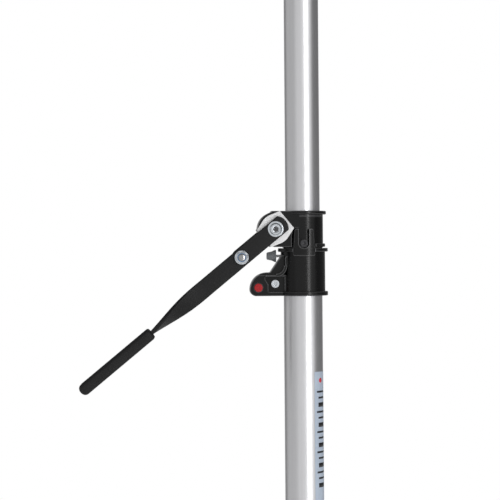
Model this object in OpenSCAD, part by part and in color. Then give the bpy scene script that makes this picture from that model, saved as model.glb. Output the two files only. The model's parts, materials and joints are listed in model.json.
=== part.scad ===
// Telescoping floor-to-ceiling pole with a cam lever that lifts and locks the upper tube.
// Millimetres. Row frame: origin at the middle of the floor foot's underside, +Z up the pole,
// the lever hangs towards -X and its grip side faces -Y.

/* [Pole] */
// Height of the split between the two collars above the floor
split_z = 900; // [700:10:1200]
// Outside radius of the outer tube
outer_r = 22.5; // [18:0.5:30]
// Outside radius of the inner tube
inner_r = 20; // [15:0.5:27]
// Wall thickness of both tubes
tube_wall = 1.5; // [1:0.1:3]
// Length of the inner tube
inner_length = 900; // [500:10:1200]
// Height of the inner tube's lower end
inner_start = 345; // [200:5:500]

/* [Feet] */
// Radius of the rubber feet
foot_r = 35; // [28:1:50]
// Height of a rubber foot
foot_height = 34; // [24:1:50]
// Thickness of rubber under the tube end
foot_pad = 12; // [8:1:20]

/* [Lower collar] */
// Body radius of the lower collar
low_body_r = 25.8; // [24:0.1:30]
// Flange radius of the lower collar
low_flange_r = 29; // [26:0.5:34]
// Length of the lower collar below the split
low_length = 55; // [45:1:70]
// Half thickness of the toe that carries the clamp screw
toe_half = 16; // [12:0.5:20]
// Half thickness of the web above the toe
web_half = 13; // [8:0.5:15]
// Half thickness at the saddles that take the rollers
saddle_half = 18; // [16:0.5:20]
// Outside radius of the guide tongues
tongue_r = 28; // [26:0.5:30]

/* [Upper collar] */
// Body radius of the upper collar
up_body_r = 23.6; // [22:0.1:28]
// Radius of the top flange
up_flange_r = 27.2; // [25:0.1:32]
// Height of the upper collar above the split
up_height = 42.8; // [35:0.5:60]
// Radius of the ear housing about the lever pivot
ear_r = 20; // [16:0.5:24]
// Half width of the ear housing
ear_half = 23.2; // [20:0.1:26]

/* [Lever] */
// Pivot distance from the pole axis
pivot_x = -32.8; // [-40:0.1:-28]
// Pivot height above the split
pivot_z = 21.9; // [15:0.1:30]
// Angle of the open lever below the horizontal
lever_angle = 39.5; // [20:0.5:60]
// Angle that the lever swings through when it is closed
lever_swing = 51.5; // [30:0.5:70]
// Height that closing the lever lifts the upper collar
lift = 8.4; // [4:0.1:12]
// Width of the lever bar
bar_width = 20.3; // [14:0.1:26]
// Thickness of the lever bar
bar_thick = 5; // [3:0.5:8]
// Distance of the inner face of each bar from the middle plane
bar_in = 26.5; // [25:0.5:30]
// Distance from the pivot to the roller bolt
roller_u = 50.7; // [40:0.1:60]
// Radius of a roller
roller_r = 8.8; // [6:0.1:10]
// Where the quarter twist of the bar starts
twist_start = 110; // [90:1:130]
// Where the quarter twist of the bar ends
twist_end = 183; // [150:1:190]
// Where the grip starts
grip_start = 184.5; // [180:0.5:200]
// Where the grip ends
grip_end = 289.2; // [240:0.1:340]
// Thickness of the grip
grip_thick = 13.8; // [10:0.1:20]
// Width of the grip
grip_width = 30; // [24:0.5:36]

/* [Lock] */
// Radius of the lever axle
axle_r = 4.5; // [3:0.1:6]
// Radius of the brake cam
cam_r = 7.2; // [6:0.1:9]
// Offset of the brake cam from the axle
cam_offset = 1.35; // [0.5:0.05:2]
// Travel of the brake shoe
shoe_travel = 0.9; // [0.5:0.05:1.5]

/* [Hidden] */
$fn = 96;
low_bore_r = outer_r + 0.05;
lip_r = inner_r + 0.6;
bush_r = inner_r + 0.06;
tube_top = split_z - 16;
inner_end = inner_start + inner_length;
bar_mid = bar_in + bar_thick / 2;
plate_in = bar_in - 3;
closed_angle = lever_angle + lever_swing;
saddle_x = pivot_x - roller_u * cos(closed_angle);
saddle_z = pivot_z + lift - roller_u * sin(closed_angle);
saddle_floor = -30.8;
cam_turn = -75.75;
cam_x = pivot_x + cam_offset * cos(cam_turn);
cam_z = pivot_z + cam_offset * sin(cam_turn);
shoe_x = cam_x + cam_r + 0.1;
screw_x = -33;
screw_z = -41;
button_x = -52.4;
button_z = -45.3;
knob_z = -9;
knob_ribs = 16;
knob_rib_width = 1.3;
pin_z = 5.5;
pin_r = 4.3;
slot_half = 6;
skirt_z = 1.3;
wiper_depth = 1.5;
panel_depth = 4;
panel_face = toe_half - panel_depth;

// ---- helpers ----

function arc(cx, cz, r, a0, a1, n) =
  [for (i = [0:n]) [cx + r * cos(a0 + (a1 - a0) * i / n), cz + r * sin(a0 + (a1 - a0) * i / n)]];

// A round bar along Y, from y0 to y1, at x and at height z above the split.
module rod(x, z, r, y0, y1) {
  translate([x, y1, split_z + z])
    rotate([90, 0, 0])
      cylinder(r = r, h = y1 - y0);
}

// A hexagonal bar along Y, measured across its flats.
module hex_rod(x, z, flats, y0, y1, turn) {
  translate([x, y1, split_z + z])
    rotate([90, 0, 0])
      rotate([0, 0, turn])
        cylinder(r = flats / sqrt(3), h = y1 - y0, $fn = 6);
}

// A plate in the XZ plane, from y0 to y1, whose outline is measured from the split.
module plate(y0, y1) {
  translate([0, y1, split_z])
    rotate([90, 0, 0])
      linear_extrude(y1 - y0)
        children();
}

// The lever's own frame: x along the lever, y towards the grip side, z across it.
module on_lever() {
  translate([pivot_x, 0, split_z + pivot_z])
    rotate([0, -lever_angle, 0])
      rotate([0, 0, 180])
        children();
}

// A round bar across the lever at distance u from the pivot.
module lever_rod(u, r, y0, y1) {
  translate([u, y1, 0])
    rotate([90, 0, 0])
      cylinder(r = r, h = y1 - y0);
}

// A box in the lever's frame.
module lever_box(u0, u1, y0, y1, v0, v1) {
  translate([u0, y0, v0])
    cube([u1 - u0, y1 - y0, v1 - v0]);
}

module ring(r0, r1, z0, z1) {
  translate([0, 0, z0])
    difference() {
      cylinder(r = r1, h = z1 - z0);
      translate([0, 0, -1])
        cylinder(r = r0, h = z1 - z0 + 2);
    }
}

// A ring whose outer edges are broken.
module flange(r0, r1, z0, z1, edge) {
  translate([0, 0, split_z])
    rotate_extrude()
      polygon([[r0, z0], [r1 - edge, z0], [r1, z0 + edge], [r1, z1 - edge], [r1 - edge, z1], [r0, z1]]);
}

// ---- pole ----

module foot_cup(tube_r) {
  rotate_extrude()
    polygon([
      [0, 0], [14, 0], [14, 2], [16.5, 2], [16.5, 0], [20, 0], [20, 2], [22.5, 2], [22.5, 0],
      [26, 0], [26, 2], [28.5, 2], [28.5, 0], [foot_r - 1.2, 0], [foot_r, 1.2], [foot_r, 5],
      [foot_r - 1.5, 9], [foot_r - 5, 14], [tube_r + 5.5, 19], [tube_r + 4, 24],
      [tube_r + 3.6, foot_height - 1.5], [tube_r + 2.6, foot_height], [tube_r + 0.05, foot_height],
      [tube_r + 0.05, foot_pad], [0, foot_pad]]);
}

module end_plug(r) {
  rotate_extrude()
    polygon([
      [0, 0], [r, 0], [r, 6], [r - 0.5, 7], [r - 0.5, 14], [r, 15], [r, 21], [r - 0.5, 22],
      [r - 0.5, 28], [r - 3, 28], [r - 3, 4], [0, 4]]);
}

module floor_foot() {
  color([0.06, 0.06, 0.06])
    foot_cup(outer_r);
}

module floor_plug() {
  color([0.1, 0.1, 0.1])
    translate([0, 0, foot_pad + 0.1])
      end_plug(outer_r - tube_wall - 0.05);
}

module outer_tube() {
  color([0.72, 0.73, 0.75])
    ring(outer_r - tube_wall, outer_r, foot_pad + 0.1, tube_top);
}

module tube_label() {
  color([0.75, 0.8, 0.87])
    intersection() {
      ring(outer_r + 0.01, outer_r + 0.13, split_z - 292, split_z - 142.7);
      rotate([0, 0, -60])
        translate([0, 0, split_z - 300])
          cube([30, 30, 200]);
    }
}

module inner_tube() {
  color([0.78, 0.79, 0.8])
    ring(inner_r - tube_wall, inner_r, inner_start, inner_end);
}

module glide_bush() {
  color([0.9, 0.9, 0.88])
    difference() {
      union() {
        translate([0, 0, inner_start - 10])
          cylinder(r = outer_r - tube_wall - 0.06, h = 9.9);
        translate([0, 0, inner_start - 1])
          cylinder(r = inner_r - tube_wall - 0.05, h = 21);
      }
      translate([0, 0, inner_start - 11])
        cylinder(r = inner_r - tube_wall - 3, h = 32);
    }
}

module ceiling_plug() {
  color([0.1, 0.1, 0.1])
    translate([0, 0, inner_end])
      mirror([0, 0, 1])
        end_plug(inner_r - tube_wall - 0.05);
}

module ceiling_foot() {
  color([0.06, 0.06, 0.06])
    translate([0, 0, inner_end + 0.1 + foot_pad])
      mirror([0, 0, 1])
        foot_cup(inner_r);
}

// ---- lower collar ----

module toe_outline() {
  polygon(concat(
    [[-20, -low_length]],
    arc(-55.1, -low_length + 6.8, 6.8, 270, 180, 10),
    arc(-42.1, -47.9, 19.8, 176, 90, 20),
    [[-38.5, -27.9], [-25.3, -8.3], [-20, -8.3]]));
}

module toe_thick_outline() {
  intersection() {
    toe_outline();
    translate([-70, -low_length])
      square([50, low_length - 31]);
  }
}

// The raised saddle that a roller beds into when the lever is closed.
module saddle_outline() {
  difference() {
    polygon(concat(
      [[-44, -34], [-44, saddle_floor], [saddle_x, saddle_floor], [saddle_x, saddle_z], [-21.5, saddle_z]],
      arc(-18, -12.5, 3.6, 170, 90, 8),
      [[-13.5, -8.6]],
      arc(-13.5, -10.8, 2.2, 90, 0, 4),
      arc(-15.6, -13, 2.2, 45, 180, 6),
      [[-18, -18]],
      arc(saddle_x, saddle_z, 12.6, 5, -90, 20),
      [[-44, -33.5]]));
    translate([saddle_x, saddle_z])
      circle(r = roller_r + 0.35);
  }
}

module panel_outline() {
  polygon([[-22.2, -32.6], [-43.5, -32.6], [-44.7, -33.6], [-44.7, -35.4], [-41, -42],
    [-41, -49.6], [-40, -50.5], [-22.2, -50.5]]);
}

module tongue_outline() {
  polygon(concat(
    arc(-8.8, 20, 2, 180, 90, 6),
    arc(8.8, 20, 2, 90, 0, 6),
    arc(10.8, -7, 2, 0, -90, 6),
    arc(-10.8, -7, 2, -90, -180, 6)));
}

module tongue_prism(side) {
  mirror([0, side > 0 ? 0 : 1, 0])
    plate(12, 40)
      tongue_outline();
}

module lower_collar_solid() {
  flange(20, low_body_r, -low_length, 0, 0.4);
  flange(20, low_flange_r, -low_length, -50, 0.7);
  difference() {
    flange(20, low_flange_r, -4.3, 0, 0.7);
    for (side = [-1, 1])
      tongue_prism(side);
  }
  plate(-web_half, web_half)
    toe_outline();
  plate(-toe_half, toe_half)
    toe_thick_outline();
  plate(-saddle_half, -web_half + 1)
    saddle_outline();
  plate(web_half - 1, saddle_half)
    saddle_outline();
  for (side = [-1, 1])
    intersection() {
      ring(up_body_r + 0.4, tongue_r, split_z - 12, split_z + 24);
      tongue_prism(side);
    }
}

module lower_collar() {
  color([0.09, 0.09, 0.1])
    difference() {
      lower_collar_solid();
      translate([0, 0, split_z - low_length - 1])
        cylinder(r = low_bore_r, h = low_length - 9);
      translate([0, 0, split_z - 11])
        cylinder(r = lip_r, h = 12);
      translate([0, 0, split_z - wiper_depth - 0.5])
        cylinder(r = outer_r + 0.3, h = 5);
      translate([-64, -1, split_z - low_length - 1])
        cube([44, 2, low_length - 31]);
      plate(toe_half - panel_depth, toe_half + 4)
        panel_outline();
      plate(-toe_half - 4, -toe_half + panel_depth)
        panel_outline();
      rod(screw_x, screw_z, 2.6, -20, 20);
      rod(button_x, button_z, 4.95, -20, -6);
      rod(button_x, button_z, 2.15, -20, 20);
      translate([-40, 0, split_z + knob_z])
        rotate([0, 90, 0])
          cylinder(r = 1.55, h = 22);
      for (side = [-1, 1]) {
        rod(0, pin_z, slot_half, side > 0 ? 15 : -40, side > 0 ? 40 : -15);
        translate([-slot_half, side > 0 ? 15 : -40, split_z + pin_z])
          cube([2 * slot_half, 25, 20]);
      }
    }
}

module lower_bush() {
  color([0.9, 0.9, 0.88])
    ring(bush_r, outer_r, split_z - 15.9, split_z - 10.6);
}

module clamp_screw() {
  color([0.8, 0.82, 0.85])
    difference() {
      union() {
        rod(screw_x, screw_z, 4.6, -panel_face - 5, -panel_face - 0.1);
        rod(screw_x, screw_z, 2.5, -panel_face - 0.2, panel_face + 5.2);
      }
      hex_rod(screw_x, screw_z, 4, -panel_face - 6, -panel_face - 2.4, 0);
    }
}

module clamp_nut() {
  color([0.8, 0.82, 0.85])
    difference() {
      hex_rod(screw_x, screw_z, 8, panel_face + 0.1, panel_face + 4.1, 30);
      rod(screw_x, screw_z, 2.55, panel_face, panel_face + 5);
    }
}

module safety_button() {
  color([0.85, 0.08, 0.08]) {
    rod(button_x, button_z, 4.8, -toe_half - 3, -12.2);
    rod(button_x, button_z, 2, -12.2, toe_half + 1.4);
  }
}

module button_spring() {
  color([0.7, 0.7, 0.72])
    translate([button_x, -6.55, split_z + button_z])
      rotate([90, 0, 0])
        linear_extrude(height = 5.1, twist = -1440, slices = 64, segments = 8)
          translate([3.6, 0])
            circle(r = 0.5, $fn = 8);
}

module button_clip() {
  color([0.25, 0.25, 0.27])
    difference() {
      rod(button_x, button_z, 4.4, toe_half + 0.1, toe_half + 1);
      rod(button_x, button_z, 2.03, toe_half, toe_half + 2);
    }
}

module drag_knob() {
  color([0.6, 0.62, 0.64])
    translate([0, 0, split_z + knob_z])
      rotate([0, 90, 0])
        difference() {
          union() {
            translate([0, 0, -42.2])
              cylinder(r1 = 4, r2 = 5.2, h = 6.6);
            translate([0, 0, -35.7])
              cylinder(r1 = 5.2, r2 = 5.9, h = 4.4);
            for (k = [0:knob_ribs - 1])
              rotate([90, 0, (k + 0.5) * 360 / knob_ribs])
                translate([0, 0, -knob_rib_width / 2])
                  linear_extrude(knob_rib_width)
                    polygon([[3, -36.2], [5.2, -36.2], [7.1, -32.2], [7.1, -31.1], [3, -31.1]]);
          }
          translate([0, 0, -41])
            cylinder(r = 1.52, h = 12);
        }
}

module drag_stud() {
  color([0.8, 0.82, 0.85])
    translate([-40.8, 0, split_z + knob_z])
      rotate([0, 90, 0])
        cylinder(r = 1.5, h = 18.4);
}

module drag_pad() {
  color([0.9, 0.9, 0.88])
    difference() {
      translate([-22.3, 0, split_z + knob_z])
        rotate([0, 90, 0])
          cylinder(r = 1.5, h = 2.6);
      translate([0, 0, split_z - 20])
        cylinder(r = inner_r + 0.05, h = 20);
    }
}

// ---- upper collar ----

module upper_collar_solid() {
  flange(20, up_body_r, 0.5, up_height, 0.4);
  flange(20, up_flange_r, up_height - 4, up_height, 0.7);
  difference() {
    flange(20, 26, skirt_z, 5.2, 0.6);
    for (side = [-1, 1])
      translate([-13.4, side > 0 ? 15 : -35, split_z])
        cube([26.8, 20, 6]);
  }
  rod(pivot_x, pivot_z, ear_r, -ear_half, ear_half);
  translate([pivot_x - 4.2, -ear_half, split_z + up_height - 8])
    cube([-pivot_x, 2 * ear_half, 8]);
  difference() {
    translate([pivot_x, -ear_half, split_z + pivot_z - ear_r - 0.5])
      cube([-pivot_x - 4, 2 * ear_half, up_height - 3]);
    tongue_room();
  }
}

// The room that the guide tongues need beside the upper collar's body.
module tongue_room() {
  difference() {
    translate([-14, -40, split_z - 1])
      cube([28, 80, 24.2]);
    translate([0, 0, split_z - 2])
      cylinder(r = up_body_r, h = 30);
  }
}

module upper_collar() {
  color([0.09, 0.09, 0.1])
    difference() {
      upper_collar_solid();
      translate([0, 0, split_z - 1])
        cylinder(r = lip_r, h = up_height + 2);
      translate([0, 0, split_z + 36])
        cylinder(r = outer_r - 0.05, h = 10);
      translate([0, 0, split_z - 1])
        cylinder(r = outer_r - 0.05, h = 4);
      rod(pivot_x, pivot_z, ear_r - 3.5, -ear_half + 3.5, ear_half - 3.5);
      difference() {
        translate([pivot_x, -ear_half + 3.5, split_z + 6])
          cube([-pivot_x - 14, 2 * ear_half - 7, up_height - 11]);
        translate([0, 0, split_z])
          cylinder(r = up_body_r, h = 50);
      }
      translate([-30, -9, split_z + 12])
        cube([12, 18, 20]);
      rod(pivot_x, pivot_z, axle_r + 0.06, -30, 30);
      rod(0, pin_z, 2.55, -26, 26);
    }
}

module upper_bush() {
  color([0.9, 0.9, 0.88])
    ring(bush_r, outer_r - 0.1, split_z + 36.1, split_z + up_height);
}

module upper_wiper() {
  color([0.08, 0.08, 0.08])
    ring(bush_r, outer_r - 0.1, split_z - wiper_depth, split_z + 2.9);
}

module guide_screws() {
  color([0.16, 0.16, 0.17])
    for (side = [0, 1])
      mirror([0, side, 0])
        difference() {
          union() {
            rod(0, pin_z, pin_r, up_body_r + 0.1, tongue_r - 0.4);
            rod(0, pin_z, 2.5, inner_r + 1.2, up_body_r + 0.2);
          }
          hex_rod(0, pin_z, 3, tongue_r - 2.4, tongue_r, 0);
        }
}

module brake_shoe() {
  color([0.62, 0.64, 0.66])
    translate([shoe_x, -8.5, split_z + 13])
      cube([-22.35 - shoe_x, 17, 18]);
}

module brake_pad() {
  color([0.3, 0.16, 0.1])
    difference() {
      translate([-22.35, -8, split_z + 13.5])
        cube([3.4, 16, 17]);
      translate([-shoe_travel, 0, split_z])
        cylinder(r = inner_r + 0.05, h = 50);
    }
}

// ---- lever ----

module brake_cam() {
  color([0.62, 0.64, 0.66])
    difference() {
      union() {
        rod(cam_x, cam_z, cam_r, -8, 8);
        rod(pivot_x, pivot_z, 6.4, -ear_half + 3.9, ear_half - 3.9);
      }
      rod(pivot_x, pivot_z, axle_r + 0.03, -30, 30);
    }
}

module pivot_axle() {
  color([0.8, 0.82, 0.85])
    difference() {
      rod(pivot_x, pivot_z, axle_r, -bar_in - bar_thick + 0.2, bar_in + bar_thick - 0.2);
      rod(pivot_x, pivot_z, 2.55, bar_in - 8, bar_in + 8);
      rod(pivot_x, pivot_z, 2.55, -bar_in - 8, -bar_in + 8);
    }
}

module pivot_screws() {
  color([0.8, 0.82, 0.85])
    for (side = [0, 1])
      mirror([0, side, 0])
        difference() {
          union() {
            rod(pivot_x, pivot_z, 9.1, bar_in + bar_thick, bar_in + bar_thick + 1.2);
            translate([pivot_x, bar_in + bar_thick + 1.2, split_z + pivot_z])
              rotate([-90, 0, 0])
                cylinder(r1 = 9.1, r2 = 6.4, h = 2.2);
            rod(pivot_x, pivot_z, 2.5, bar_in - 6, bar_in + bar_thick + 0.5);
          }
          hex_rod(pivot_x, pivot_z, 6, bar_in + bar_thick + 0.9, bar_in + bar_thick + 5, 10);
        }
}

module side_plate(y0) {
  difference() {
    hull() {
      lever_rod(0, 17.3, y0, y0 + 3);
      lever_box(-17.2, 16.8, y0, y0 + 3, -12.8, 12.8);
    }
    lever_rod(0, axle_r + 0.03, y0 - 1, y0 + 4);
  }
}

module side_plates() {
  color([0.93, 0.93, 0.94])
    on_lever() {
      side_plate(plate_in - 0.05);
      side_plate(-plate_in - 2.95);
    }
}

// The end of an arm: an arc about the pivot, as wide as the bar.
module arm_end(y0) {
  intersection() {
    lever_rod(0, 15, y0, y0 + bar_thick);
    lever_box(-16, 11, y0, y0 + bar_thick, -bar_width / 2, bar_width / 2);
  }
}

module lever_bar() {
  color([0.08, 0.08, 0.08])
    on_lever()
      difference() {
        union() {
          arm_end(bar_in);
          lever_box(10, twist_start, bar_in, bar_in + bar_thick, -bar_width / 2, bar_width / 2);
          translate([twist_start, bar_mid, 0])
            rotate([0, 90, 0])
              linear_extrude(height = twist_end - twist_start, twist = -90, slices = 30, segments = 8)
                square([bar_width, bar_thick], center = true);
          lever_box(twist_end, grip_end - 6, bar_mid - bar_width / 2, bar_mid + bar_width / 2,
            -bar_thick / 2, bar_thick / 2);
        }
        lever_rod(0, axle_r + 0.03, bar_in - 1, bar_in + 8);
        lever_rod(roller_u, 4.05, bar_in - 1, bar_in + 8);
      }
}

module far_arm() {
  color([0.08, 0.08, 0.08])
    on_lever()
      difference() {
        union() {
          arm_end(-bar_in - bar_thick);
          lever_box(10, roller_u, -bar_in - bar_thick, -bar_in, -bar_width / 2, bar_width / 2);
          lever_rod(roller_u, bar_width / 2, -bar_in - bar_thick, -bar_in);
        }
        lever_rod(0, axle_r + 0.03, -bar_in - 8, -bar_in + 1);
        lever_rod(roller_u, 4.05, -bar_in - 8, -bar_in + 1);
      }
}

// The grip's side profile: small corners at the bar end, larger ones at the tip.
module grip_profile(half) {
  y0 = bar_mid - half;
  y1 = bar_mid + half;
  lever_box(grip_start + 2.5, grip_end - 5, y0, y1, -grip_thick / 2, grip_thick / 2);
  lever_box(grip_start, grip_end, y0, y1, -grip_thick / 2 + 5, grip_thick / 2 - 5);
  lever_box(grip_start, grip_start + 3, y0, y1, -grip_thick / 2 + 2.5, grip_thick / 2 - 2.5);
  for (s = [-1, 1]) {
    translate([0, 0, s * (grip_thick / 2 - 2.5)])
      lever_rod(grip_start + 2.5, 2.5, y0, y1);
    translate([0, 0, s * (grip_thick / 2 - 5)])
      lever_rod(grip_end - 5, 5, y0, y1);
  }
}

// The grip's plan, seen across its wide face.
module grip_plan() {
  h = grip_width / 2;
  lever_box(grip_start + 4, grip_end - 9, bar_mid - h, bar_mid + h, -10, 10);
  lever_box(grip_start, grip_end, bar_mid - h + 9, bar_mid + h - 9, -10, 10);
  for (s = [-1, 1]) {
    translate([grip_start + 4, bar_mid + s * (h - 4), -10])
      cylinder(r = 4, h = 20);
    translate([grip_end - 9, bar_mid + s * (h - 9), -10])
      cylinder(r = 9, h = 20);
  }
  lever_box(grip_start, grip_start + 5, bar_mid - h + 4, bar_mid + h - 4, -10, 10);
}

module lever_grip() {
  color([0.1, 0.1, 0.1])
    on_lever()
      difference() {
        intersection() {
          grip_profile(grip_width / 2 + 1);
          grip_plan();
        }
        lever_box(grip_start - 1, grip_end - 5.5, bar_mid - bar_width / 2 - 0.05,
          bar_mid + bar_width / 2 + 0.05, -bar_thick / 2 - 0.05, bar_thick / 2 + 0.05);
      }
}

module roller(side) {
  color([0.86, 0.86, 0.84])
    on_lever()
      mirror([0, side, 0])
        difference() {
          lever_rod(roller_u, roller_r, 14, bar_in - 0.5);
          lever_rod(roller_u, 6.6, 13, 17);
          lever_rod(roller_u, 4.06, 13, bar_in + 1);
        }
}

module near_roller() {
  roller(0);
}

module far_roller() {
  roller(1);
}

module roller_bolts() {
  color([0.72, 0.75, 0.8])
    on_lever()
      for (side = [0, 1])
        mirror([0, side, 0]) {
          lever_rod(roller_u, 6.3, 14.3, 16.9);
          lever_rod(roller_u, 4, 16.8, bar_in + bar_thick + 8.6);
        }
}

module roller_washers() {
  color([0.72, 0.75, 0.8])
    on_lever()
      for (side = [0, 1])
        mirror([0, side, 0])
          difference() {
            lever_rod(roller_u, 8, bar_in + bar_thick, bar_in + bar_thick + 1.5);
            lever_rod(roller_u, 4.05, bar_in, bar_in + bar_thick + 3);
          }
}

module roller_nuts() {
  color([0.72, 0.75, 0.8])
    on_lever()
      for (side = [0, 1])
        mirror([0, side, 0])
          difference() {
            union() {
              translate([roller_u, bar_in + bar_thick + 7, 0])
                rotate([90, 0, 0])
                  rotate([0, 0, 15])
                    cylinder(r = 13 / sqrt(3), h = 5.5, $fn = 6);
              lever_rod(roller_u, 6, bar_in + bar_thick + 6, bar_in + bar_thick + 8);
            }
            lever_rod(roller_u, 4.05, bar_in, bar_in + bar_thick + 9);
          }
}

floor_foot();
floor_plug();
outer_tube();
tube_label();
lower_collar();
lower_bush();
clamp_screw();
clamp_nut();
safety_button();
button_spring();
button_clip();
drag_knob();
drag_stud();
drag_pad();
upper_collar();
upper_bush();
upper_wiper();
guide_screws();
brake_shoe();
brake_pad();
brake_cam();
pivot_axle();
pivot_screws();
side_plates();
lever_bar();
far_arm();
lever_grip();
near_roller();
far_roller();
roller_bolts();
roller_washers();
roller_nuts();
inner_tube();
glide_bush();
ceiling_plug();
ceiling_foot();
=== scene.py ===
"""Looks for the telescoping tension pole: materials, finer meshes for the formed pieces, light and camera."""
import json
import math

import bmesh
import bpy
from mathutils import Matrix, Vector


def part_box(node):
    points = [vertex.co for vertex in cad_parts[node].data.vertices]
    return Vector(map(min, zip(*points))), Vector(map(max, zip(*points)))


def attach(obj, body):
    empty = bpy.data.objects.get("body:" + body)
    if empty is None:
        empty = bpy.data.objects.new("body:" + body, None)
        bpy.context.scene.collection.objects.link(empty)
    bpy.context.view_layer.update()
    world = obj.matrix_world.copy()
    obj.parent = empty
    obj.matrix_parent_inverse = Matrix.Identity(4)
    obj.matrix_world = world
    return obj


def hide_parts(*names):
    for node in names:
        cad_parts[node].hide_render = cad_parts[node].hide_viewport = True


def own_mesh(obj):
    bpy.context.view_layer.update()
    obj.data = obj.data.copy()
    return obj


MM = 0.001
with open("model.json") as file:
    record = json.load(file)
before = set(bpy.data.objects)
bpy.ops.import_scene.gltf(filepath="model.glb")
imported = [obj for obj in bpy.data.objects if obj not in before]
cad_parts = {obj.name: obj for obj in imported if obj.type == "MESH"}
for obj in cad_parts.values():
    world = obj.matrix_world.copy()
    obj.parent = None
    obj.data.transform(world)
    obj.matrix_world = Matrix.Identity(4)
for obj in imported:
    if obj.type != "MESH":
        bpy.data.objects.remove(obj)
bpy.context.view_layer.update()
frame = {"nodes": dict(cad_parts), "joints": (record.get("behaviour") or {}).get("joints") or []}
nodes = frame["nodes"]
joints = {joint["name"]: joint for joint in frame["joints"]}

# ---- places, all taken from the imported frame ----


def low(node, axis):
    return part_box(node)[0][axis]


def high(node, axis):
    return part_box(node)[1][axis]


def middle(node):
    lowest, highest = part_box(node)
    return (Vector(lowest) + Vector(highest)) / 2


def span(node, origin, direction):
    """The stretch that a CAD node covers along a direction, measured from origin."""
    along = [(vertex.co - origin).dot(direction) for vertex in nodes[node].data.vertices]
    return min(along), max(along)


X, Y, Z = 0, 1, 2
UP = Vector((0, 0, 1))
NEAR = Vector((0, -1, 0))
PIVOT = Vector(joints["lever_swing"]["pos_m"])
ROLLER = Vector(joints["near_roller_spin"]["pos_m"])
TO_ROLLER = Vector((ROLLER.x - PIVOT.x, 0, ROLLER.z - PIVOT.z))
ALONG = TO_ROLLER.normalized()
ACROSS = ALONG.cross(NEAR)
SPLIT_Z = low("upper_collar", Z) - 0.5 * MM
OUTER_R = high("outer_tube", X)


def on_lever(u, y, v):
    """A point u along the lever from its pivot, at depth y, and v across the lever."""
    return Vector((PIVOT.x, y, PIVOT.z)) + ALONG * u + ACROSS * v


# ---- materials ----

NOISE_MIDDLE = (0.3, 0.7)  # most of a noise's values lie between these two
FLAT_POINTINESS, EDGE_POINTINESS = 0.52, 0.6
OPEN_COVER, TIGHT_COVER = 0.95, 0.45  # how open a flat stretch and a tight corner are
COVER_SAMPLES = 12


def new_material(name, colour, roughness, metallic=0.0, **sockets):
    """A Principled material. Further sockets are given by name, with underscores for spaces."""
    material = bpy.data.materials.new(name)
    material.use_nodes = True
    shader = material.node_tree.nodes["Principled BSDF"]
    shader.inputs["Base Color"].default_value = (*colour, 1)
    shader.inputs["Roughness"].default_value = roughness
    shader.inputs["Metallic"].default_value = metallic
    for socket, value in sockets.items():
        shader.inputs[socket.replace("_", " ")].default_value = value
    return material


def object_space(tree, stretch=(1, 1, 1)):
    """Row-frame coordinates in metres, scaled by stretch."""
    coordinates = tree.nodes.new("ShaderNodeTexCoord")
    mapping = tree.nodes.new("ShaderNodeMapping")
    mapping.inputs["Scale"].default_value = stretch
    tree.links.new(coordinates.outputs["Object"], mapping.inputs["Vector"])
    return mapping.outputs["Vector"]


def noise(tree, scale, detail, stretch=(1, 1, 1)):
    texture = tree.nodes.new("ShaderNodeTexNoise")
    texture.inputs["Scale"].default_value = scale
    texture.inputs["Detail"].default_value = detail
    tree.links.new(object_space(tree, stretch), texture.inputs["Vector"])
    return texture.outputs["Fac"]


def remap(tree, value, low_in, high_in, low_out, high_out):
    node = tree.nodes.new("ShaderNodeMapRange")
    node.inputs["From Min"].default_value = low_in
    node.inputs["From Max"].default_value = high_in
    node.inputs["To Min"].default_value = low_out
    node.inputs["To Max"].default_value = high_out
    tree.links.new(value, node.inputs["Value"])
    return node.outputs["Result"]


def mix_colour(tree, factor, first, second):
    """The first colour where factor is 0, the second where it is 1. Either may be an output."""
    node = tree.nodes.new("ShaderNodeMix")
    node.data_type = "RGBA"
    for socket, colour in (("A", first), ("B", second)):
        target = next(s for s in node.inputs if s.name == socket and s.type == "RGBA")
        if isinstance(colour, tuple):
            target.default_value = (*colour, 1)
        else:
            tree.links.new(colour, target)
    tree.links.new(factor, next(s for s in node.inputs if s.name == "Factor" and s.type == "VALUE"))
    return next(s for s in node.outputs if s.type == "RGBA")


def colour_from(material, output):
    tree = material.node_tree
    tree.links.new(output, tree.nodes["Principled BSDF"].inputs["Base Color"])


def roughness_from(material, pattern, lowest, highest):
    """Roughness that follows a noise, from lowest to highest."""
    tree = material.node_tree
    result = remap(tree, pattern, *NOISE_MIDDLE, lowest, highest)
    tree.links.new(result, tree.nodes["Principled BSDF"].inputs["Roughness"])


def bump_from(material, pattern, distance, strength):
    tree = material.node_tree
    bump = tree.nodes.new("ShaderNodeBump")
    bump.inputs["Distance"].default_value = distance
    bump.inputs["Strength"].default_value = strength
    tree.links.new(pattern, bump.inputs["Height"])
    tree.links.new(bump.outputs["Normal"], tree.nodes["Principled BSDF"].inputs["Normal"])


def edge_mask(tree):
    """0 on flat stretches and 1 on raised edges."""
    geometry = tree.nodes.new("ShaderNodeNewGeometry")
    return remap(tree, geometry.outputs["Pointiness"], FLAT_POINTINESS, EDGE_POINTINESS, 0, 1)


def cover_mask(tree, distance, inside):
    """Nearly 1 in tight corners (or, from the inside, on raised edges), and 0 on open stretches."""
    cover = tree.nodes.new("ShaderNodeAmbientOcclusion")
    cover.samples = COVER_SAMPLES
    cover.only_local = True
    cover.inside = inside
    cover.inputs["Distance"].default_value = distance
    return remap(tree, cover.outputs["AO"], OPEN_COVER, TIGHT_COVER, 0, 1)


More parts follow.
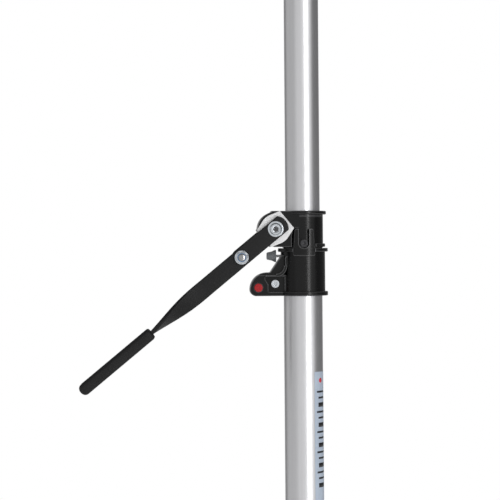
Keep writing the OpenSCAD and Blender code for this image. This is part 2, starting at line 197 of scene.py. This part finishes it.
def speckled(name, colour, roughness, tones, rough=None, bump=None, metallic=0.0, **sockets):
    """A material whose colour follows a noise, and so do its roughness and bump if they are given.

    tones: the noise's scale and detail, the first colour and the second.
    rough: the noise's scale and detail, the lowest roughness and the highest.
    bump: the noise's scale and detail, the bump's height and its strength.
    """
    material = new_material(name, colour, roughness, metallic, **sockets)
    tree = material.node_tree
    scale, detail, first, second = tones
    colour_from(material, mix_colour(tree, noise(tree, scale, detail), first, second))
    if rough:
        scale, detail, lowest, highest = rough
        roughness_from(material, noise(tree, scale, detail), lowest, highest)
    if bump:
        scale, detail, distance, strength = bump
        bump_from(material, noise(tree, scale, detail), distance, strength)
    return material


def anodised_aluminium():
    """Satin anodised tube: fine streaks along the draw, and faint handling marks."""
    material = new_material("anodised_aluminium", (0.72, 0.72, 0.73), 0.3, 1.0)
    tree = material.node_tree
    streaks = noise(tree, 900, 4, (1, 1, 0.006))
    patches = noise(tree, 30, 4, (1, 1, 0.3))
    colour_from(material, mix_colour(tree, streaks, (0.64, 0.64, 0.655), (0.72, 0.72, 0.735)))
    roughness_from(material, patches, 0.31, 0.35)
    bump_from(material, streaks, 0.01 * MM, 0.5)
    return material


def black_casting():
    """Satin black coating over a die casting, with a painted highlight on raised edges and painted shade in
    tight corners.
    """
    material = new_material("black_casting", (0.003, 0.003, 0.003), 0.28, Specular_IOR_Level=0.27)
    tree = material.node_tree
    mottled = mix_colour(tree, noise(tree, 160, 4), (0.002, 0.002, 0.0021), (0.0038, 0.0038, 0.004))
    # Lighter on raised edges: a painted highlight standing in for light catching the edges.
    painted_edge_highlight = mix_colour(tree, cover_mask(tree, 1.5 * MM, True), mottled, (0.1, 0.1, 0.103))
    # Nearly black in tight corners and recesses: painted shade.
    painted_crevice_shade = cover_mask(tree, 4 * MM, False)
    colour_from(material, mix_colour(tree, painted_crevice_shade, painted_edge_highlight, (0.0002, 0.0002, 0.0002)))
    roughness_from(material, noise(tree, 420, 5), 0.22, 0.29)
    bump_from(material, noise(tree, 1400, 3), 0.01 * MM, 0.4)
    return material


def black_powder_coat():
    """Matt black powder coat on the pressed steel bars."""
    material = new_material("black_powder_coat", (0.007, 0.007, 0.0073), 0.55, Specular_IOR_Level=0.26)
    tree = material.node_tree
    mottled = mix_colour(tree, noise(tree, 220, 4), (0.006, 0.006, 0.0063), (0.0095, 0.0095, 0.0098))
    # Lighter on raised edges: a painted highlight along the bar's edges.
    colour_from(material, mix_colour(tree, edge_mask(tree), mottled, (0.03, 0.03, 0.031)))
    roughness_from(material, noise(tree, 500, 3), 0.48, 0.62)
    bump_from(material, noise(tree, 2200, 2), 0.04 * MM, 0.6)
    return material


def grip_vinyl():
    """Dipped vinyl sleeve with a fine leathery grain."""
    material = speckled(
        "grip_vinyl", (0.009, 0.009, 0.0094), 0.6, (90, 5, (0.007, 0.007, 0.0073), (0.012, 0.012, 0.0124)),
        rough=(300, 3, 0.52, 0.68), Specular_IOR_Level=0.27)
    tree = material.node_tree
    cells = tree.nodes.new("ShaderNodeTexVoronoi")
    cells.feature = "DISTANCE_TO_EDGE"
    cells.inputs["Scale"].default_value = 1100
    tree.links.new(object_space(tree), cells.inputs["Vector"])
    bump_from(material, cells.outputs["Distance"], 0.12 * MM, 0.5)
    return material


def zinc_plate(name, tint):
    """Bright zinc under a cloudy passivated film."""
    dark = tuple(0.7 * channel for channel in tint)
    return speckled(
        name, tint, 0.24, (330, 4, dark, tint), (600, 3, 0.18, 0.34), (500, 2, 0.03 * MM, 0.6), metallic=1.0)


def dark_steel():
    material = new_material("dark_steel", (0.05, 0.05, 0.053), 0.4, 0.8)
    tree = material.node_tree
    colour_from(material, mix_colour(tree, edge_mask(tree), (0.04, 0.04, 0.043), (0.12, 0.12, 0.125)))
    roughness_from(material, noise(tree, 700, 4), 0.3, 0.5)
    bump_from(material, noise(tree, 1500, 2), 0.02 * MM, 0.5)
    return material


def machined_metal():
    """Bare metal with fine tool marks."""
    material = new_material("machined_metal", (0.58, 0.59, 0.6), 0.35, 1.0)
    tree = material.node_tree
    marks = noise(tree, 700, 2, (1, 0.02, 1))
    colour_from(material, mix_colour(tree, marks, (0.5, 0.51, 0.52), (0.64, 0.65, 0.66)))
    roughness_from(material, marks, 0.28, 0.42)
    bump_from(material, marks, 0.02 * MM, 0.5)
    return material


def printed_ink(name, colour):
    dark = tuple(0.8 * channel for channel in colour)
    return speckled(name, colour, 0.45, (500, 3, dark, colour))


ALUMINIUM = anodised_aluminium()
CASTING = black_casting()
POWDER = black_powder_coat()
VINYL = grip_vinyl()
ZINC = zinc_plate("zinc_plate", (0.72, 0.76, 0.8))
BOLT = zinc_plate("bolt_plate", (0.4, 0.4, 0.4))
DARK = dark_steel()
MACHINED = machined_metal()
NYLON = speckled(
    "white_nylon", (0.82, 0.82, 0.83), 0.42, (60, 4, (0.78, 0.78, 0.79), (0.86, 0.86, 0.865)),
    (240, 3, 0.38, 0.5), (900, 2, 0.02 * MM, 0.5), Subsurface_Weight=0.08, Subsurface_Radius=(MM, MM, MM))
BLUE = speckled("blue_nylon", (0.08, 0.2, 0.42), 0.4, (700, 3, (0.05, 0.12, 0.24), (0.1, 0.2, 0.36)))
RED = speckled(
    "red_plastic", (0.37, 0.007, 0.011), 0.32, (300, 4, (0.33, 0.006, 0.009), (0.41, 0.009, 0.013)),
    (700, 3, 0.28, 0.4), (1500, 2, 0.02 * MM, 0.4), Specular_IOR_Level=0.35)
GREY = speckled(
    "grey_plastic", (0.33, 0.34, 0.35), 0.45, (400, 4, (0.17, 0.18, 0.19), (0.25, 0.26, 0.27)),
    (700, 3, 0.38, 0.52), (1500, 2, 0.03 * MM, 0.5))
RUBBER = speckled(
    "black_rubber", (0.03, 0.03, 0.03), 0.75, (45, 6, (0.022, 0.022, 0.022), (0.05, 0.049, 0.047)),
    (120, 3, 0.66, 0.85), (1100, 4, 0.08 * MM, 0.6))
PLASTIC = speckled(
    "black_plastic", (0.03, 0.03, 0.032), 0.5, (120, 4, (0.025, 0.025, 0.027), (0.04, 0.04, 0.042)),
    bump=(900, 3, 0.03 * MM, 0.5))
LINING = speckled(
    "brake_lining", (0.12, 0.06, 0.04), 0.85, (900, 5, (0.07, 0.04, 0.03), (0.2, 0.12, 0.08)),
    bump=(1200, 4, 0.1 * MM, 0.8))
FILM = speckled(
    "label_film", (0.6, 0.68, 0.78), 0.3, (20, 3, (0.42, 0.49, 0.59), (0.5, 0.57, 0.67)),
    (150, 3, 0.26, 0.36), (90, 2, 0.02 * MM, 0.3))

# ---- CAD nodes that keep their shape ----


WELD_REACH = 0.002 * MM
FLAT_ANGLE = math.radians(0.5)
SHARP_ANGLE = math.radians(35)


def dress(node, material, edge):
    """Gives a CAD node its material, and rounds its sharp edges by modifiers if edge isn't 0."""
    piece = nodes[node]
    for slot in piece.material_slots:
        slot.material = material
    if not edge:
        return
    weld = piece.modifiers.new("weld", "WELD")
    weld.merge_threshold = WELD_REACH
    planar = piece.modifiers.new("planar", "DECIMATE")
    planar.decimate_type = "DISSOLVE"
    planar.angle_limit = FLAT_ANGLE
    bevel = piece.modifiers.new("bevel", "BEVEL")
    bevel.width = edge
    bevel.segments = 3
    bevel.limit_method = "ANGLE"
    bevel.angle_limit = SHARP_ANGLE
    bevel.use_clamp_overlap = True
    normals = piece.modifiers.new("normals", "WEIGHTED_NORMAL")
    normals.keep_sharp = False


# Each CAD node's material, and the radius of its rounded edges.
DRESSED = {
    "floor_foot": (RUBBER, 0),
    "ceiling_foot": (RUBBER, 0),
    "floor_plug": (PLASTIC, 0),
    "ceiling_plug": (PLASTIC, 0),
    "outer_tube": (ALUMINIUM, 0),
    "inner_tube": (ALUMINIUM, 0),
    "tube_label": (FILM, 0),
    "lower_collar": (CASTING, 0.7 * MM),
    "upper_collar": (CASTING, 0.6 * MM),
    "lower_bush": (NYLON, 0),
    "upper_bush": (NYLON, 0),
    "upper_wiper": (RUBBER, 0),
    "glide_bush": (NYLON, 0),
    "clamp_screw": (ZINC, 0.25 * MM),
    "clamp_nut": (ZINC, 0.25 * MM),
    "safety_button": (RED, 0.7 * MM),
    "button_spring": (ZINC, 0),
    "button_clip": (DARK, 0),
    "drag_knob": (GREY, 0),
    "drag_stud": (NYLON, 0),
    "drag_pad": (NYLON, 0),
    "guide_screws": (DARK, 0.3 * MM),
    "brake_shoe": (MACHINED, 0),
    "brake_pad": (LINING, 0),
    "brake_cam": (MACHINED, 0),
    "pivot_axle": (ZINC, 0),
    "pivot_screws": (ZINC, 0),
    "side_plates": (NYLON, 0.4 * MM),
    "lever_bar": (POWDER, 0),
    "far_arm": (POWDER, 0.6 * MM),
    "lever_grip": (VINYL, 0),
    "near_roller": (NYLON, 0.4 * MM),
    "far_roller": (NYLON, 0.4 * MM),
    "roller_bolts": (ZINC, 0),
    "roller_washers": (ZINC, 0.3 * MM),
    "roller_nuts": (ZINC, 0),
}
for name, (material, edge) in DRESSED.items():
    dress(name, material, edge)

# ---- pieces made in mesh code ----

SIDES = (("near", -1), ("far", 1))
CREASE_ANGLE = math.radians(32)


def add_piece(name, rings, material, body, capped=True, closed=False):
    """A skin over rings of points, each ring as long as the last, that rides on a body.

    A capped skin has a face over its first and last ring. A closed one joins the two rings.
    """
    mesh = bmesh.new()
    rows = [[mesh.verts.new(point) for point in ring] for ring in rings]
    count = len(rows[0])
    pairs = list(zip(rows, rows[1:]))
    if closed:
        pairs.append((rows[-1], rows[0]))
    for first, second in pairs:
        for k in range(count):
            mesh.faces.new((first[k], first[(k + 1) % count], second[(k + 1) % count], second[k]))
    if capped:
        mesh.faces.new(rows[0])
        mesh.faces.new(rows[-1])
    bmesh.ops.recalc_face_normals(mesh, faces=mesh.faces)
    data = bpy.data.meshes.new(name)
    mesh.to_mesh(data)
    mesh.free()
    piece = bpy.data.objects.new(name, data)
    bpy.context.scene.collection.objects.link(piece)
    data.materials.append(material)
    data.shade_smooth()
    data.set_sharp_from_angle(angle=CREASE_ANGLE)
    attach(piece, body)
    return piece


def rounded_outline(half_x, half_y, radius, corner_points=6):
    """Points round a rectangle with rounded corners, centred on the origin."""
    radius = min(radius, half_x, half_y)
    points = []
    for turn, (sx, sy) in enumerate(((1, 1), (-1, 1), (-1, -1), (1, -1))):
        for k in range(corner_points + 1):
            angle = math.radians(90 * (turn + k / corner_points))
            points.append((
                sx * (half_x - radius) + radius * math.cos(angle),
                sy * (half_y - radius) + radius * math.sin(angle),
            ))
    return points


def smooth_step(value):
    value = min(max(value, 0), 1)
    return value * value * (3 - 2 * value)


TWIST_START = 104 * MM
TWIST_END = 185 * MM
TWIST_STEPS = 56
TWIST_EASE = 0.35  # the share of the twist that starts and ends slowly
BAR_CORNER = 1.1 * MM
BAR_END_R = 15 * MM


def lever_bar():
    """The pressed bar: flat beside the collars, then a quarter twist, then the tang in the grip."""
    near_face, far_face = -high("far_arm", Y), -low("far_arm", Y)
    depth = (near_face + far_face) / 2
    half_thick = (far_face - near_face) / 2
    half_wide = span("far_arm", PIVOT, ACROSS)[1]
    tip = span("lever_bar", PIVOT, ALONG)[1]
    tang_middle = 0.9 * TWIST_END + 0.1 * tip + 12 * MM
    stations = [-BAR_END_R * math.cos(math.radians(angle)) for angle in range(4, 49, 4)]
    stations += [-9 * MM, 0, 20 * MM, 50 * MM, 80 * MM]
    stations += [TWIST_START + (TWIST_END - TWIST_START) * k / TWIST_STEPS for k in range(TWIST_STEPS + 1)]
    stations += [tang_middle, tip - BAR_CORNER, tip]
    rings = []
    for u in stations:
        turn = math.radians(90) * twist_share(u)
        wide = half_wide
        if u < 0:
            wide = min(half_wide, math.sqrt(max(BAR_END_R ** 2 - u ** 2, 0)))
        ring = []
        for v, y in rounded_outline(wide, half_thick, BAR_CORNER):
            ring.append(on_lever(
                u,
                depth - v * math.sin(turn) - y * math.cos(turn),
                v * math.cos(turn) - y * math.sin(turn),
            ))
        rings.append(ring)
    piece = add_piece("lever_bar_formed", rings, POWDER, "lever")
    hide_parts("lever_bar")


def twist_share(u):
    """How much of the quarter twist is done at u."""
    share = min(max((u - TWIST_START) / (TWIST_END - TWIST_START), 0), 1)
    return TWIST_EASE * smooth_step(share) + (1 - TWIST_EASE) * share


def lever_grip():
    """The vinyl sleeve: small corners where the bar goes in, larger ones at the tip."""
    start, end = span("lever_grip", PIVOT, ALONG)
    bottom, top = span("lever_grip", PIVOT, ACROSS)
    half_v = (top - bottom) / 2
    depth = (low("lever_grip", Y) + high("lever_grip", Y)) / 2
    half_y = (high("lever_grip", Y) - low("lever_grip", Y)) / 2
    start_r, end_r, side_r = 2.6 * MM, 6.2 * MM, 4.5 * MM
    start_steps, middle_steps, end_steps = 6, 12, 9
    stations = []
    for k in range(start_steps + 1):
        angle = math.radians(90 * k / start_steps)
        stations.append((start + start_r * (1 - math.cos(angle)), start_r * (1 - math.sin(angle))))
    for k in range(1, middle_steps):
        stations.append((start + start_r + (end - end_r - start - start_r) * k / middle_steps, 0))
    for k in range(end_steps + 1):
        angle = math.radians(90 * k / end_steps)
        stations.append((end - end_r * (1 - math.sin(angle)), end_r * (1 - math.cos(angle))))
    rings = []
    for u, inset in stations:
        outline = rounded_outline(half_v - inset, half_y - inset, side_r, 8)
        rings.append([on_lever(u, depth + y, v) for v, y in outline])
    piece = add_piece("grip_sleeve", rings, VINYL, "lever")
    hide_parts("lever_grip")


TURNED_SEGMENTS = 72


def turned_rings(centre, axis, profile, start=0.0):
    """Rings round an axis along Y.

    Each profile entry is a height, a radius and, where the ring is a hexagon, its width across
    the flats, or else 0.
    """
    first = Vector((1, 0, 0))
    second = axis.cross(first)
    rings = []
    for height, radius, flats in profile:
        ring = []
        for k in range(TURNED_SEGMENTS):
            angle = 2 * math.pi * k / TURNED_SEGMENTS + start
            reach = radius
            if flats:
                wrapped = (angle - start) % (math.pi / 3) - math.pi / 6
                reach = min(radius, flats / 2 / math.cos(wrapped))
            point = centre + axis * height
            point = point + (first * math.cos(angle) + second * math.sin(angle)) * reach
            ring.append(point)
        rings.append(ring)
    return rings


def pivot_screws():
    """Domed screws with a hexagon socket, one into each end of the axle, each socket holding a dark disc as
    painted shade.
    """
    seat = high("far_arm", Y)
    tall = high("pivot_screws", Y) - seat
    head_r = (high("pivot_screws", X) - low("pivot_screws", X)) / 2
    shank_r, shank_end = 2.4 * MM, -9 * MM
    socket, socket_r, socket_floor = 6 * MM, 3.6 * MM, 0.9 * MM
    centre_r = 0.05 * MM
    turned_by = 0.3
    profile = [
        (shank_end, shank_r, 0), (0, shank_r, 0), (0, head_r - 0.3 * MM, 0), (0.3 * MM, head_r, 0),
        (0.9 * MM, head_r, 0), (1.3 * MM, head_r - 0.3 * MM, 0), (1.5 * MM, head_r - 1.4 * MM, 0),
        (1.5 * MM, head_r - 2.0 * MM, 0), (1.9 * MM, head_r - 2.3 * MM, 0),
        (tall - 0.5 * MM, head_r - 2.9 * MM, 0), (tall, head_r - 3.6 * MM, 0),
        (tall, 4.3 * MM, 0), (tall - 0.5 * MM, 3.7 * MM, 0),
        (tall - 0.6 * MM, socket_r, socket), (socket_floor, socket_r, socket), (socket_floor, 0.6 * MM, 0),
        (0.7 * MM, centre_r, 0),
    ]
    # A dark disc just above the socket's floor: painted shade in the socket.
    disc_bottom, disc_top, disc_r = 0.95 * MM, 1.05 * MM, 3.3 * MM
    painted_shade_disc = [
        (disc_bottom, centre_r, 0), (disc_bottom, disc_r, socket),
        (disc_top, disc_r, socket), (disc_top, centre_r, 0),
    ]
    for name, side in SIDES:
        centre = Vector((PIVOT.x, side * seat, PIVOT.z))
        rings = turned_rings(centre, Vector((0, side, 0)), profile, turned_by)
        piece = add_piece("pivot_screw_" + name, rings, ZINC, "lever")
        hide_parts("pivot_screws")
        rings = turned_rings(centre, Vector((0, side, 0)), painted_shade_disc, turned_by)
        add_piece("pivot_socket_shade_" + name, rings, DARK, "lever")


def lock_nuts():
    """Chamfered hexagon nuts with a rolled collar and a blue nylon insert."""
    seat = high("roller_washers", Y)
    face = high("roller_nuts", Y) - seat
    flats = 13 * MM
    corner = flats / 2 / math.cos(math.pi / 6)
    hexagon = face - 2.2 * MM
    bore_r, insert_bore_r = 4.1 * MM, 4.12 * MM
    profile = [
        (0, bore_r, 0), (0, flats / 2 - 0.1 * MM, 0), (0.5 * MM, corner, flats),
        (hexagon - 0.6 * MM, corner, flats), (hexagon, flats / 2, flats),
        (hexagon, 6.0 * MM, 0), (face - 0.6 * MM, 5.9 * MM, 0), (face - 0.1 * MM, 5.4 * MM, 0),
        (face - 0.1 * MM, 5.1 * MM, 0), (face - 0.5 * MM, 5.1 * MM, 0), (face - 0.5 * MM, bore_r, 0),
    ]
    insert = [
        (face - 0.5 * MM, insert_bore_r, 0), (face - 0.5 * MM, 5.05 * MM, 0), (face - 0.2 * MM, 5.0 * MM, 0),
        (face - 0.15 * MM, 4.3 * MM, 0), (face - 0.25 * MM, insert_bore_r, 0),
    ]
    for name, side in SIDES:
        centre = Vector((ROLLER.x, side * seat, ROLLER.z))
        axis = Vector((0, side, 0))
        nut = add_piece("lock_nut_" + name, turned_rings(centre, axis, profile, 0.2), ZINC, "lever",
                        capped=False, closed=True)
        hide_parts("roller_nuts")
        add_piece("nut_insert_" + name, turned_rings(centre, axis, insert), BLUE, "lever",
                  capped=False, closed=True)


def roller_bolts():
    """Low-headed bolts: the head lies in the roller's counterbore, the thread shows past the nut."""
    tip = high("roller_bolts", Y)
    roller_middle = abs(middle("near_roller").y)
    head_start, head_r, head_tall, head_chamfer = 14.3 * MM, 6.3 * MM, 2.6 * MM, 0.5 * MM
    shank_r = 4 * MM
    profile = [
        (head_start, 5.6 * MM, 0), (head_start + head_chamfer, head_r, 0),
        (head_start + head_tall, head_r, 0), (head_start + head_tall, shank_r, 0),
        (roller_middle, shank_r, 0),
    ]
    thread_start = high("roller_washers", Y) + 5.5 * MM
    pitch = 1.25 * MM
    root_r = shank_r - 0.45 * MM
    for k in range(int((tip - thread_start) / pitch)):
        base = thread_start + k * pitch
        profile += [(base, shank_r, 0), (base + 0.35 * pitch, root_r, 0),
                    (base + 0.65 * pitch, root_r, 0), (base + 0.95 * pitch, shank_r, 0)]
    profile += [(tip - 0.3 * MM, shank_r - 0.2 * MM, 0), (tip, shank_r - 0.7 * MM, 0)]
    for name, side in SIDES:
        centre = Vector((ROLLER.x, 0, ROLLER.z))
        piece = add_piece("roller_bolt_" + name, turned_rings(centre, Vector((0, side, 0)), profile), BOLT,
                          "lever")
        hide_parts("roller_bolts")


def drag_knob():
    """The grey thumb knob: a tapered barrel with fine flutes and a skirt of deep ribs."""
    lowest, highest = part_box("drag_knob")
    centre = Vector((lowest[X], 0, middle("drag_knob").z))
    end = highest[X] - lowest[X]
    ribs, segments = 16, 192
    # Each entry: distance from the end, radius between the ribs, and the ribs' height.
    barrel = [
        (0.02 * MM, 0.2 * MM, 0), (0.02 * MM, 3.2 * MM, 0), (0.3 * MM, 3.75 * MM, 0.1 * MM),
        (0.7 * MM, 3.9 * MM, 0.25 * MM), (5.7 * MM, 4.9 * MM, 0.3 * MM),
    ]
    skirt = [
        (6.1 * MM, 5.0 * MM, 0.35 * MM), (9.2 * MM, 5.5 * MM, 1.4 * MM), (9.8 * MM, 5.6 * MM, 1.5 * MM),
        (end - 0.3 * MM, 5.6 * MM, 1.5 * MM), (end - 0.05 * MM, 5.4 * MM, 1.3 * MM), (end, 1.6 * MM, 0),
    ]
    rings = []
    for count, profile in ((2 * ribs, barrel), (ribs, skirt)):
        for along, core, depth in profile:
            ring = []
            for k in range(segments):
                angle = 2 * math.pi * k / segments
                wave = 0.5 + 0.5 * math.cos(count * angle)
                reach = core + depth * smooth_step(1.8 * wave - 0.4)
                ring.append(centre + Vector((along, reach * math.cos(angle), reach * math.sin(angle))))
            rings.append(ring)
    piece = add_piece("drag_knob_fluted", rings, GREY, "drag_screw")
    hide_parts("drag_knob")


def button_spring():
    """A coil round the button's stem."""
    centre = middle("button_spring")
    inner_end, outer_end = high("button_spring", Y), low("button_spring", Y)
    wire_r, turns, steps, sides = 0.45 * MM, 4, 128, 10
    coil_r = (high("button_spring", X) - low("button_spring", X)) / 2 - wire_r
    start, end = inner_end - wire_r, outer_end + wire_r
    rings = []
    for k in range(steps + 1):
        share = k / steps
        angle = 2 * math.pi * turns * share
        out = Vector((math.cos(angle), 0, math.sin(angle)))
        place = Vector((centre.x, start + (end - start) * share, centre.z)) + out * coil_r
        around = [2 * math.pi * j / sides for j in range(sides)]
        rings.append([place + (out * math.cos(t) + NEAR * math.sin(t)) * wire_r for t in around])
    piece = add_piece("button_coil", rings, ZINC, "lower_assembly")
    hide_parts("button_spring")
    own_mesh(piece)


PRINT_STEPS = 12
DOT_STEPS = 20
PRINT_THICKNESS = 0.03 * MM


def on_tube(angle, z, radius):
    return Vector((radius * math.sin(angle), -radius * math.cos(angle), z))


def printed_mark(name, material, angles, heights, steps=PRINT_STEPS, round_shape=False):
    """A mark that lies on the label, between two angles from -Y towards +X and two heights."""
    mesh = bmesh.new()
    (start, end), (bottom, top) = angles, heights
    middle_z, half_z = (bottom + top) / 2, (top - bottom) / 2
    rows = []
    for k in range(steps + 1):
        share = k / steps
        tall = half_z
        if round_shape:
            tall = max(half_z * math.sqrt(1 - (2 * share - 1) ** 2), 0.02 * MM)
        angle = start + (end - start) * share
        rows.append([mesh.verts.new(on_tube(angle, z, PRINT_R)) for z in (middle_z - tall, middle_z + tall)])
    for first, second in zip(rows, rows[1:]):
        mesh.faces.new((first[0], second[0], second[1], first[1]))
    bmesh.ops.recalc_face_normals(mesh, faces=mesh.faces)
    data = bpy.data.meshes.new(name)
    mesh.to_mesh(data)
    mesh.free()
    data.materials.append(material)
    data.shade_smooth()
    piece = bpy.data.objects.new(name, data)
    bpy.context.scene.collection.objects.link(piece)
    solid = piece.modifiers.new("film", "SOLIDIFY")
    solid.thickness = PRINT_THICKNESS
    solid.offset = 1
    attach(piece, "lower_assembly")


PRINT_R = OUTER_R + 0.15 * MM
DOT_ANGLE, DOT_R, DOT_DROP = math.radians(54), 2.8 * MM, 10 * MM
BARS_DROP, BAR_GAP = 22 * MM, 4.6 * MM
BAR_HEIGHTS = (2.2, 2.2, 5) * 5  # millimetres
LONG_BAR, SHORT_BAR, BAR_OUTER = math.radians(38), math.radians(44), math.radians(76)


def label_print():
    """A generic print: one red dot and a column of plain bars, every third one longer."""
    top = high("tube_label", Z)
    black = printed_ink("black_ink", (0.01, 0.01, 0.012))
    red = printed_ink("red_ink", (0.7, 0.03, 0.05))
    dot_z = top - DOT_DROP
    turn = DOT_R / PRINT_R
    printed_mark("label_dot", red, (DOT_ANGLE - turn, DOT_ANGLE + turn), (dot_z - DOT_R, dot_z + DOT_R),
                 DOT_STEPS, round_shape=True)
    z = top - BARS_DROP
    for k, height in enumerate(BAR_HEIGHTS):
        inner = SHORT_BAR if k % 3 else LONG_BAR
        printed_mark("label_bar_%d" % k, black, (inner, BAR_OUTER), (z - height * MM, z))
        z -= height * MM + BAR_GAP


lever_bar()
lever_grip()
pivot_screws()
lock_nuts()
roller_bolts()
drag_knob()
button_spring()
label_print()

# ---- floor, light and camera ----

scene = bpy.context.scene
scene.view_settings.view_transform = "Standard"
scene.view_settings.look = "None"


FLOOR_R, FLOOR_SIDES = 2.6, 96
FLOOR_GLOW = 0.32
SURROUND = 0.2
FOCUS = Vector((0, 0, SPLIT_Z))


def floor():
    """A plain pale floor under the foot."""
    mesh = bmesh.new()
    bmesh.ops.create_circle(mesh, cap_ends=True, radius=FLOOR_R, segments=FLOOR_SIDES)
    data = bpy.data.meshes.new("floor")
    mesh.to_mesh(data)
    mesh.free()
    piece = bpy.data.objects.new("floor", data)
    scene.collection.objects.link(piece)
    data.materials.append(speckled(
        "floor_paper", (0.86, 0.86, 0.86), 0.8, (6, 3, (0.84, 0.84, 0.84), (0.88, 0.88, 0.88)),
        Emission_Color=(1, 1, 1, 1), Emission_Strength=FLOOR_GLOW))


def soft_light(name, azimuth, elevation, distance, half_angle, height, radiance):
    """A soft box aimed at the collars, at an azimuth from -Y towards +X.

    Seen from the collars it is twice half_angle wide. Angles are in degrees.
    """
    a, e = math.radians(azimuth), math.radians(elevation)
    away = Vector((math.sin(a) * math.cos(e), -math.cos(a) * math.cos(e), math.sin(e)))
    data = bpy.data.lights.new(name, "AREA")
    data.shape = "RECTANGLE"
    data.size = 2 * distance * math.tan(math.radians(half_angle))
    data.size_y = height
    data.energy = radiance * math.pi * data.size * data.size_y
    lamp = bpy.data.objects.new(name, data)
    scene.collection.objects.link(lamp)
    lamp.location = FOCUS + away * distance
    lamp.rotation_mode = "QUATERNION"
    lamp.rotation_quaternion = (-away).to_track_quat("-Z", "Y")
    lamp.visible_camera = False


def white_surround():
    """White behind the object, and a dimmer surround for what the surfaces reflect."""
    world = bpy.data.worlds.new("surround")
    scene.world = world
    world.use_nodes = True
    tree = world.node_tree
    tree.nodes.clear()
    path = tree.nodes.new("ShaderNodeLightPath")
    seen = tree.nodes.new("ShaderNodeBackground")
    lit = tree.nodes.new("ShaderNodeBackground")
    blend = tree.nodes.new("ShaderNodeMixShader")
    out = tree.nodes.new("ShaderNodeOutputWorld")
    seen.inputs["Color"].default_value = (1, 1, 1, 1)
    lit.inputs["Color"].default_value = (1, 1, 1, 1)
    lit.inputs["Strength"].default_value = SURROUND
    tree.links.new(path.outputs["Is Camera Ray"], blend.inputs["Fac"])
    tree.links.new(lit.outputs["Background"], blend.inputs[1])
    tree.links.new(seen.outputs["Background"], blend.inputs[2])
    tree.links.new(blend.outputs["Shader"], out.inputs["Surface"])


floor()
white_surround()

# Each light's azimuth, elevation, distance, half angle, height and radiance.
LIGHTS = {
    "key_core": (27.5, 2, 2.2, 3.5, 2.6, 8.5),
    "key_box": (28, 2, 2.3, 12, 2.6, 0.75),
    "key_feather": (51, 2, 2.2, 14, 2.6, 0.6),
    "front_left": (-17, 2, 2.5, 29, 2.8, 0.6),
    "left_fill": (-87, 2, 2.5, 40, 2.8, 0.36),
    "back_left": (-165, 4, 2.5, 14, 2.8, 0.3),
    "back_right": (165, 4, 2.5, 14, 2.8, 0.3),
}
for name, settings in LIGHTS.items():
    soft_light(name, *settings)

VIEW_WIDTH = 0.580
VIEW_DISTANCE = 2.0
VIEW_AZIMUTH = math.radians(-1.8)
VIEW_ROLL = 0.00788  # radians
VIEW_X, VIEW_DROP = -0.0613, 0.0018
SENSOR_WIDTH = 36


def camera():
    """Level with the collars, a long way off, centred between the pole and the lever's grip."""
    target = Vector((VIEW_X, 0, SPLIT_Z - VIEW_DROP))
    away = Vector((math.sin(VIEW_AZIMUTH), -math.cos(VIEW_AZIMUTH), 0))
    data = bpy.data.cameras.new("camera")
    data.sensor_width = SENSOR_WIDTH
    data.lens = SENSOR_WIDTH * VIEW_DISTANCE / VIEW_WIDTH
    data.clip_end = 50
    body = bpy.data.objects.new("camera", data)
    scene.collection.objects.link(body)
    tilted_up = (UP + Vector((VIEW_ROLL, 0, 0))).normalized()
    right = tilted_up.cross(away).normalized()
    turn = Matrix((right, away.cross(right), away)).transposed()
    body.matrix_world = Matrix.Translation(target + away * VIEW_DISTANCE) @ turn.to_4x4()
    scene.camera = body


camera()
